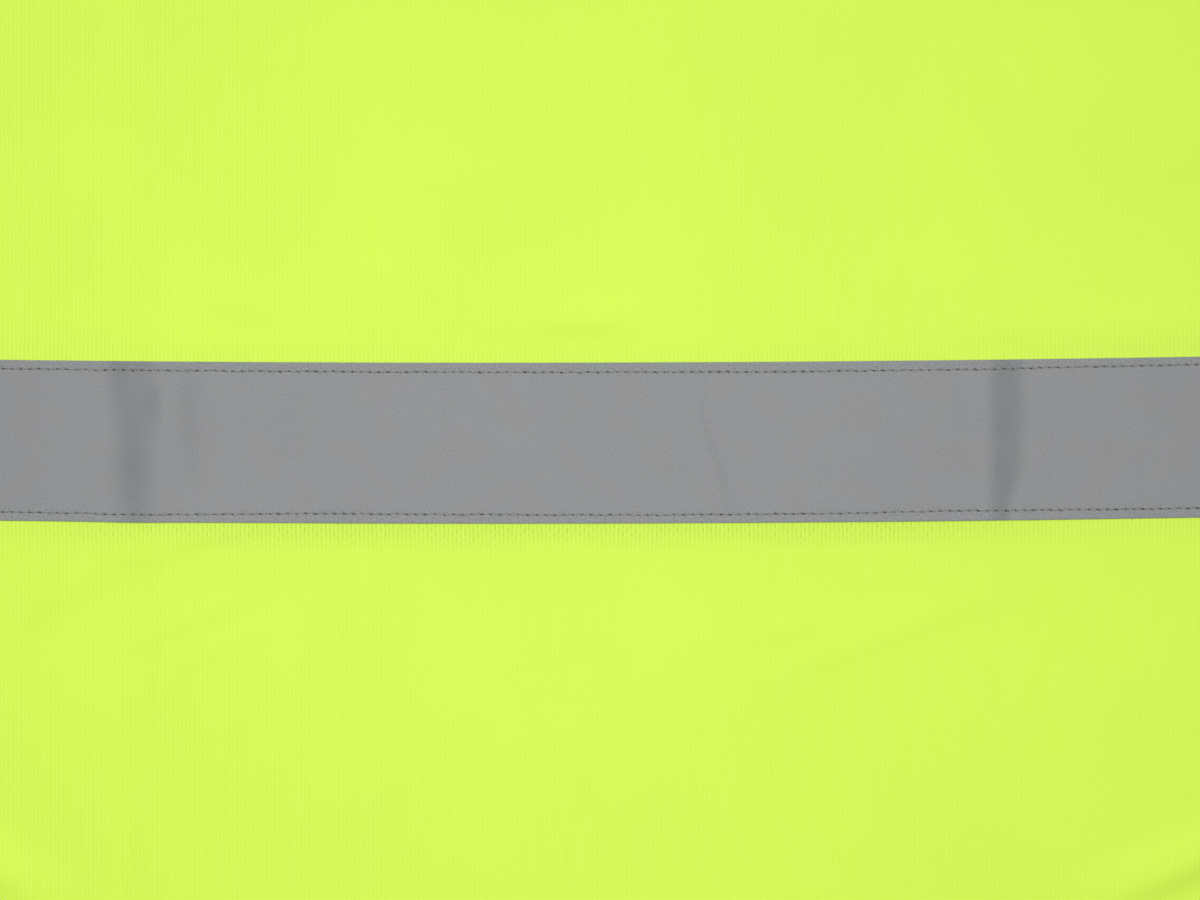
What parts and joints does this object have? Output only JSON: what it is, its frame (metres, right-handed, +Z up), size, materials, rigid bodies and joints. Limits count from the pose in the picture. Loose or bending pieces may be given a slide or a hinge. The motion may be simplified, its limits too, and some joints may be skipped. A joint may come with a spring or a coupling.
{
  "type": "high-visibility t-shirt",
  "caption": "Short-sleeved crew-neck work t-shirt in fluorescent yellow birdseye knit with a grey reflective band round the body, laid flat.",
  "frame": {"origin": "on the surface that the t-shirt lies on, under the middle of its outline", "axes": "+X across the t-shirt towards the wearer's left sleeve, +Y from the hem to the neck, +Z up out of the front"},
  "size_m": [0.878, 0.754, 0.0065],
  "materials": {
    "knit": "fluorescent yellow polyester birdseye knit, matt with fine vertical ribs and pinhole eyelets",
    "rib_knit": "fluorescent yellow 1x1 rib knit, matt",
    "reflective_tape": "grey glass-bead retroreflective tape on cloth, satin with a fine grain"
  },
  "bodies": {
    "root": {"front_panel": "knit", "back_panel": "knit", "sleeve_left": "knit", "sleeve_right": "knit", "neck_rib": "rib_knit", "tape_front": "reflective_tape", "tape_back": "reflective_tape"}
  },
  "joints": []
}
